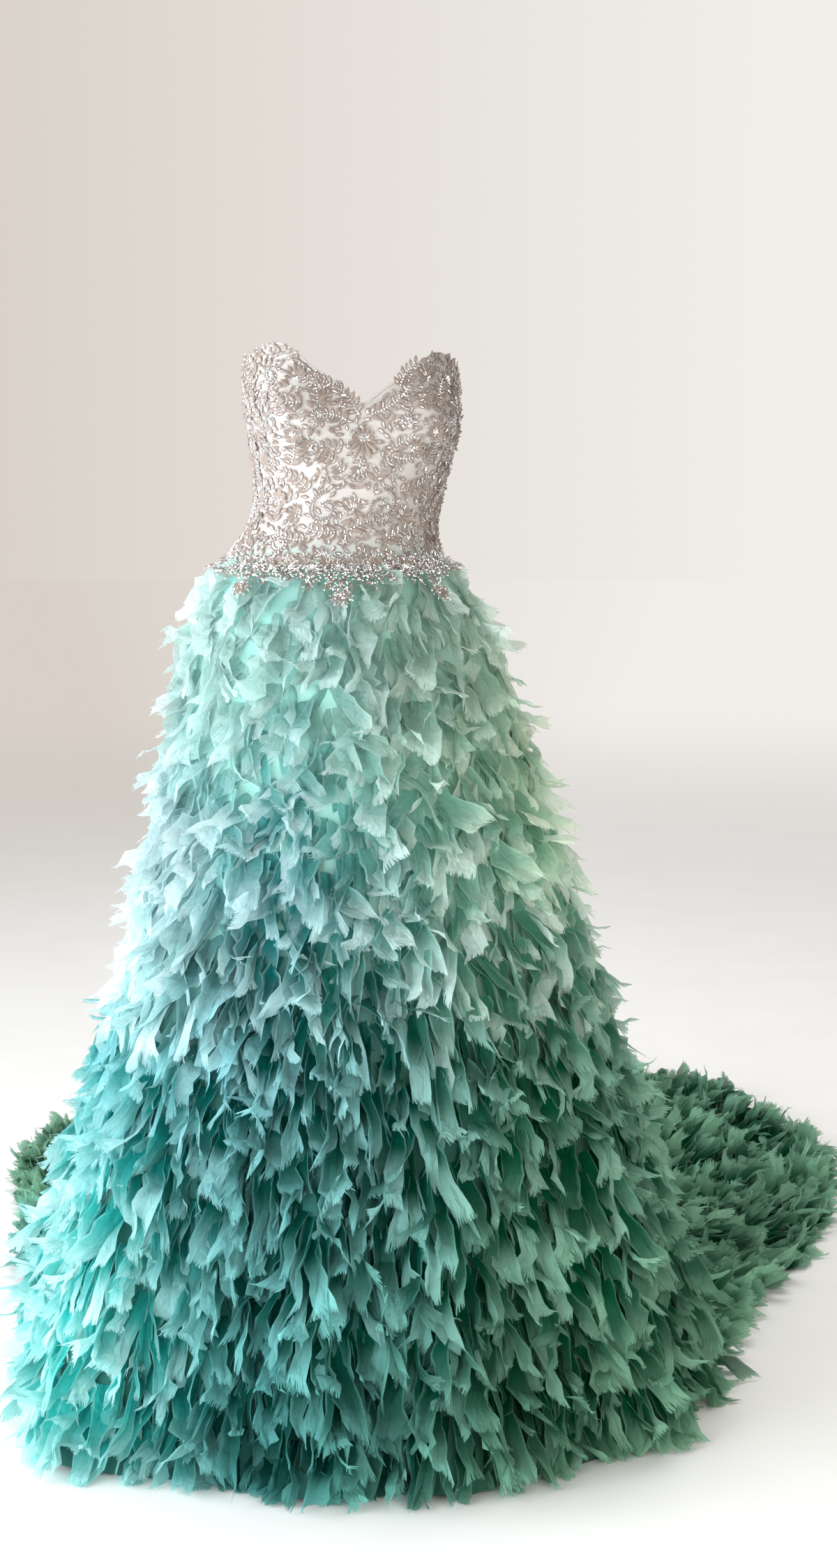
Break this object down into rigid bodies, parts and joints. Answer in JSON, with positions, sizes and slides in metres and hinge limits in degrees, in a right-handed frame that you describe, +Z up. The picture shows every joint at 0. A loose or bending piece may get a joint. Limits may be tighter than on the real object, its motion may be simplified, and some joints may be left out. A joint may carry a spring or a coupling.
{
  "type": "wedding dress",
  "caption": "Strapless sweetheart gown with a beaded lace bodice and a flared skirt and train covered in rows of chiffon petals.",
  "frame": {"origin": "middle of the waist, where the wearer holds the gown up", "axes": "+Z up, -Y the way the gown faces, +X the wearer's left"},
  "size_m": [1.3598, 2.0791, 1.3636],
  "materials": {
    "bodice_satin_lace": "ivory satin under taupe lace",
    "ivory_piping": "plain ivory satin",
    "beaded_lace": "taupe lace with silver beads",
    "foundation_chiffon": "matt dyed chiffon",
    "mint_petals": "sheer torn chiffon",
    "aqua_petals": "sheer torn chiffon",
    "teal_petals": "sheer torn chiffon"
  },
  "bodies": {
    "root": {"bodice_centre_front": "bodice_satin_lace", "bodice_side_front_left": "bodice_satin_lace", "bodice_side_front_right": "bodice_satin_lace", "bodice_side_back_left": "bodice_satin_lace", "bodice_side_back_right": "bodice_satin_lace", "bodice_back_left": "bodice_satin_lace", "bodice_back_right": "bodice_satin_lace", "top_edge_piping": "ivory_piping", "back_button_placket": "ivory_piping", "lace_sprays_front": "beaded_lace", "lace_sprays_back": "beaded_lace", "skirt_front_gore": "foundation_chiffon", "skirt_left_gore": "foundation_chiffon", "skirt_right_gore": "foundation_chiffon", "skirt_train_gore": "foundation_chiffon", "petal_ring_01": "mint_petals", "petal_ring_02": "mint_petals", "petal_ring_03": "mint_petals", "petal_ring_04": "mint_petals", "petal_ring_05": "aqua_petals", "petal_ring_06": "aqua_petals", "petal_ring_07": "teal_petals", "petal_ring_08": "teal_petals", "petal_ring_09": "teal_petals", "petal_train_01": "teal_petals", "petal_train_02": "teal_petals", "petal_train_03": "teal_petals", "petal_train_04": "teal_petals", "petal_train_05": "teal_petals"}
  },
  "joints": []
}
